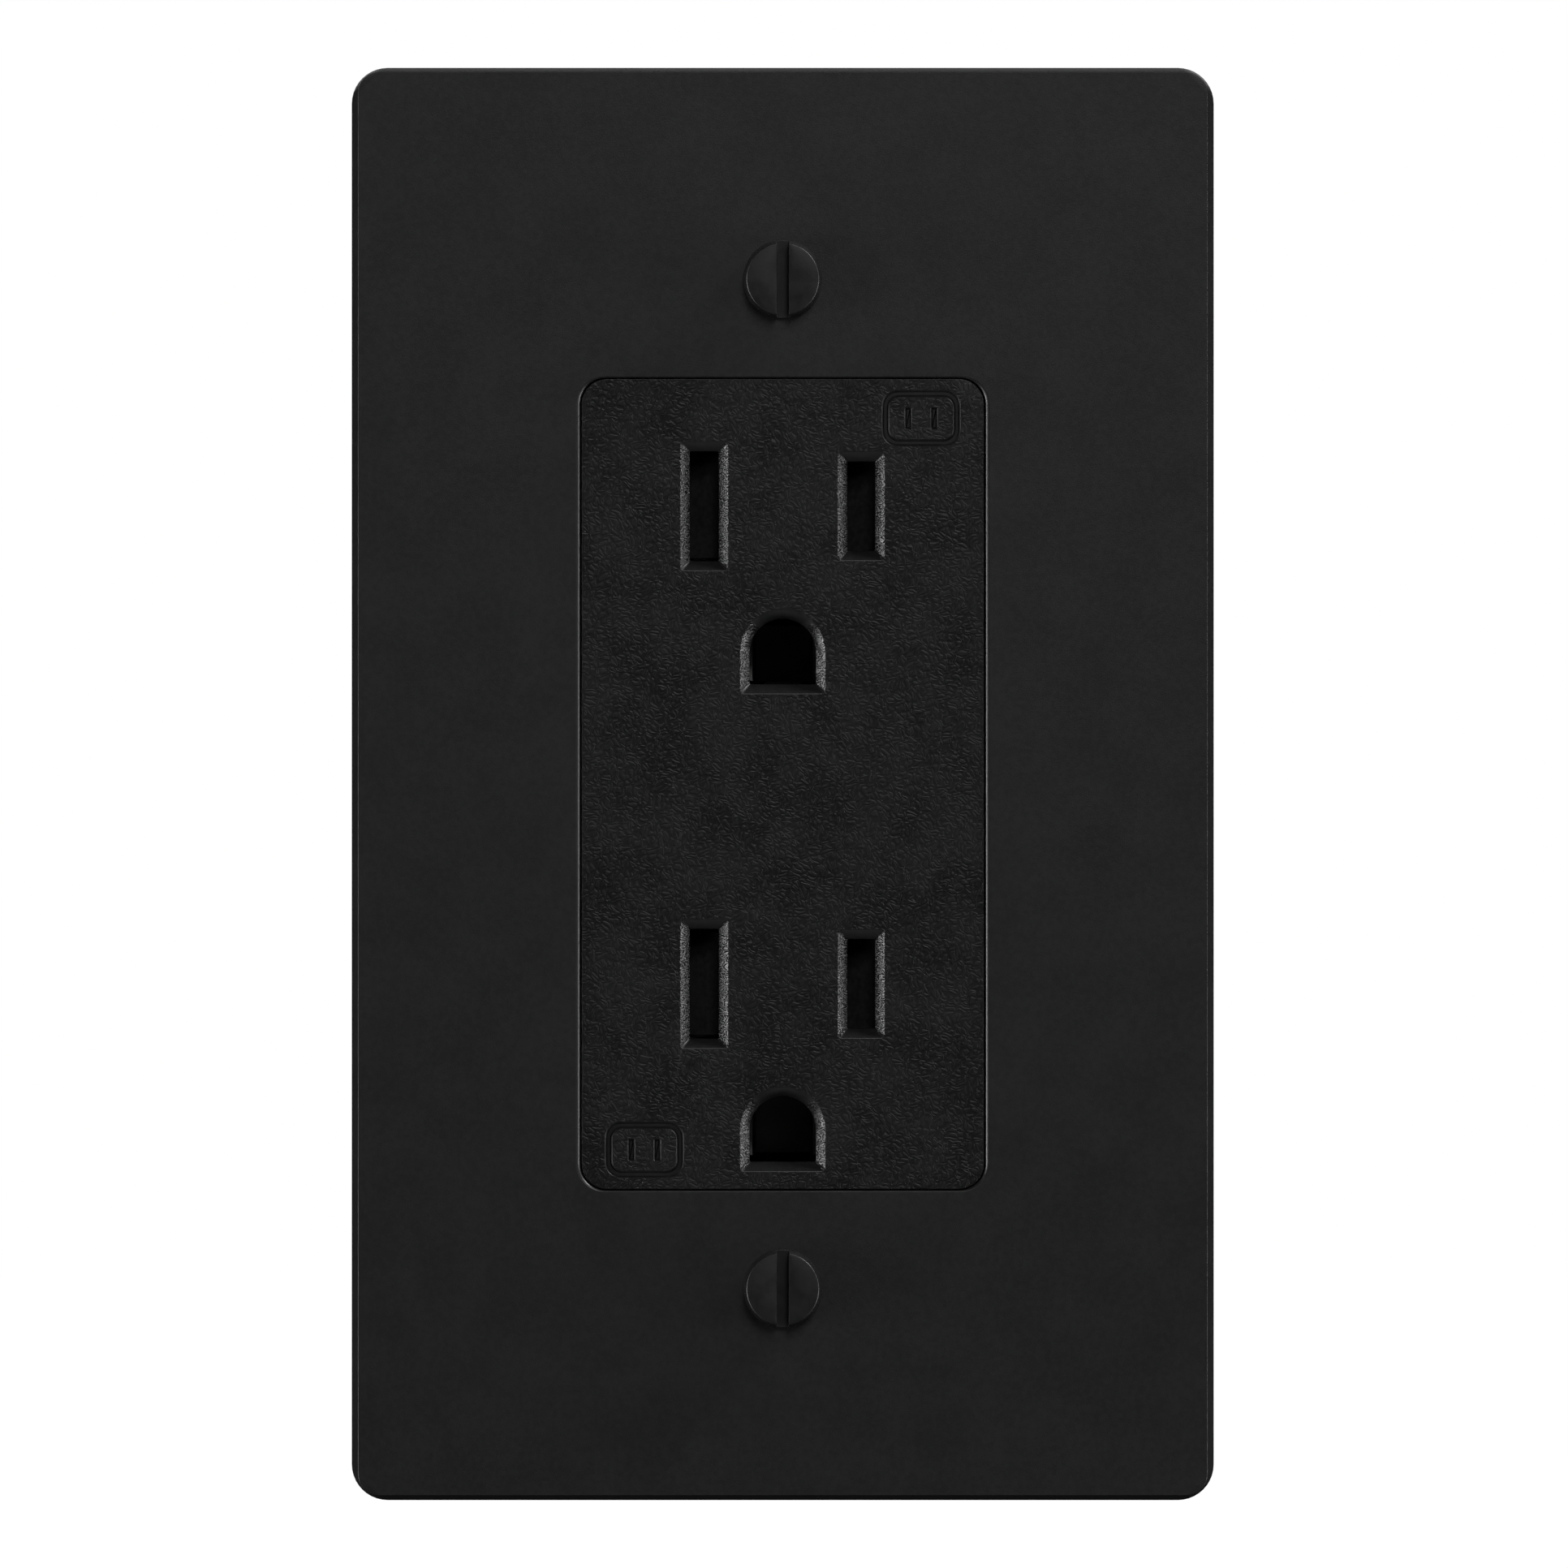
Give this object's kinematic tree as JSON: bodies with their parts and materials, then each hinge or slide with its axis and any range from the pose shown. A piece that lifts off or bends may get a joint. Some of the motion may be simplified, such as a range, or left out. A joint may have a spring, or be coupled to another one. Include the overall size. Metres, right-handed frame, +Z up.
{
  "type": "duplex wall outlet",
  "caption": "Flat rectangular wall plate with a flush two-outlet face with shuttered blade slots; long screws draw swing-out wings up behind the wall panel.",
  "frame": {"origin": "the middle of the plate, on the wall's surface", "axes": "+X to the right as seen from the room, +Y into the wall, +Z up"},
  "size_m": [0.0698, 0.0448, 0.116],
  "materials": {
    "plate_plastic": "satin black, finely grained",
    "face_plastic": "black, moulded leather grain",
    "housing_plastic": "black, plain moulded",
    "cover_plastic": "dark grey, plain moulded",
    "shutter_plastic": "black, smooth moulded",
    "slider_plastic": "black, slippery smooth",
    "black_steel": "black satin lacquer",
    "zinc_steel": "bright zinc plated",
    "spring_steel": "bright drawn wire",
    "brass": "rolled strip",
    "plated_brass": "nickel plated strip",
    "fibre": "red vulcanised fibre"
  },
  "bodies": {
    "housing": {"wall_plate": "plate_plastic", "receptacle_face": "face_plastic", "front_housing": "housing_plastic", "rear_housing": "housing_plastic", "rear_cover": "cover_plastic", "hot_bus": "brass", "neutral_bus": "plated_brass", "ground_bus": "brass", "upper_shutter_platform": "shutter_plastic", "upper_shutter_spring": "spring_steel", "upper_hot_contact": "brass", "upper_neutral_contact": "plated_brass", "upper_ground_contact": "brass", "lower_shutter_platform": "shutter_plastic", "lower_shutter_spring": "spring_steel", "lower_hot_contact": "brass", "lower_neutral_contact": "plated_brass", "lower_ground_contact": "brass", "upper_screw_retainer": "fibre", "upper_cable_clamp": "cover_plastic", "upper_cable_clamp_screw_left": "zinc_steel", "upper_cable_clamp_screw_right": "zinc_steel", "lower_screw_retainer": "fibre", "lower_cable_clamp": "cover_plastic", "lower_cable_clamp_screw_left": "zinc_steel", "lower_cable_clamp_screw_right": "zinc_steel", "housing_screw_upper_left": "zinc_steel", "housing_screw_upper_right": "zinc_steel", "housing_screw_lower_left": "zinc_steel", "housing_screw_lower_right": "zinc_steel", "cover_screw_left": "zinc_steel", "cover_screw_right": "zinc_steel"},
    "upper_screw": {"upper_mounting_screw": "black_steel"},
    "upper_nut": {"upper_clamp_bush": "brass"},
    "upper_wing": {"upper_clamp_wing": "zinc_steel"},
    "upper_shutter": {"upper_shutter_slider": "slider_plastic"},
    "lower_screw": {"lower_mounting_screw": "black_steel"},
    "lower_nut": {"lower_clamp_bush": "brass"},
    "lower_wing": {"lower_clamp_wing": "zinc_steel"},
    "lower_shutter": {"lower_shutter_slider": "slider_plastic"}
  },
  "joints": [
    {"name": "upper_screw_turn", "type": "hinge", "parent": "housing", "child": "upper_screw", "pos_m": [0, 0, 0.04083], "axis": [0, 1, 0], "range_deg": [0, 6350]},
    {"name": "upper_nut_travel", "type": "slide", "parent": "housing", "child": "upper_nut", "axis": [0, -1, 0], "range_m": [0, 0.014]},
    {"name": "upper_wing_swing", "type": "hinge", "parent": "upper_nut", "child": "upper_wing", "pos_m": [0, 0.0188, 0.04083], "axis": [0, 1, 0], "range_deg": [0, 90]},
    {"name": "upper_shutter_slide", "type": "slide", "parent": "housing", "child": "upper_shutter", "axis": [1, 0, 0], "range_m": [0, 0.0032], "stiffness_N_per_m": 120, "springref_m": -0.002, "deforming": ["upper_shutter_spring"]},
    {"name": "lower_screw_turn", "type": "hinge", "parent": "housing", "child": "lower_screw", "pos_m": [0, 0, -0.04083], "axis": [0, 1, 0], "range_deg": [0, 6350]},
    {"name": "lower_nut_travel", "type": "slide", "parent": "housing", "child": "lower_nut", "axis": [0, -1, 0], "range_m": [0, 0.014]},
    {"name": "lower_wing_swing", "type": "hinge", "parent": "lower_nut", "child": "lower_wing", "pos_m": [0, 0.0188, -0.04083], "axis": [0, 1, 0], "range_deg": [0, 90]},
    {"name": "lower_shutter_slide", "type": "slide", "parent": "housing", "child": "lower_shutter", "axis": [1, 0, 0], "range_m": [0, 0.0032], "stiffness_N_per_m": 120, "springref_m": -0.002, "deforming": ["lower_shutter_spring"]}
  ],
  "couplings": [
    {"joint": "upper_screw_turn", "follows": "upper_nut_travel", "rad_per_m": 7915.8},
    {"joint": "lower_screw_turn", "follows": "lower_nut_travel", "rad_per_m": 7915.8}
  ]
}
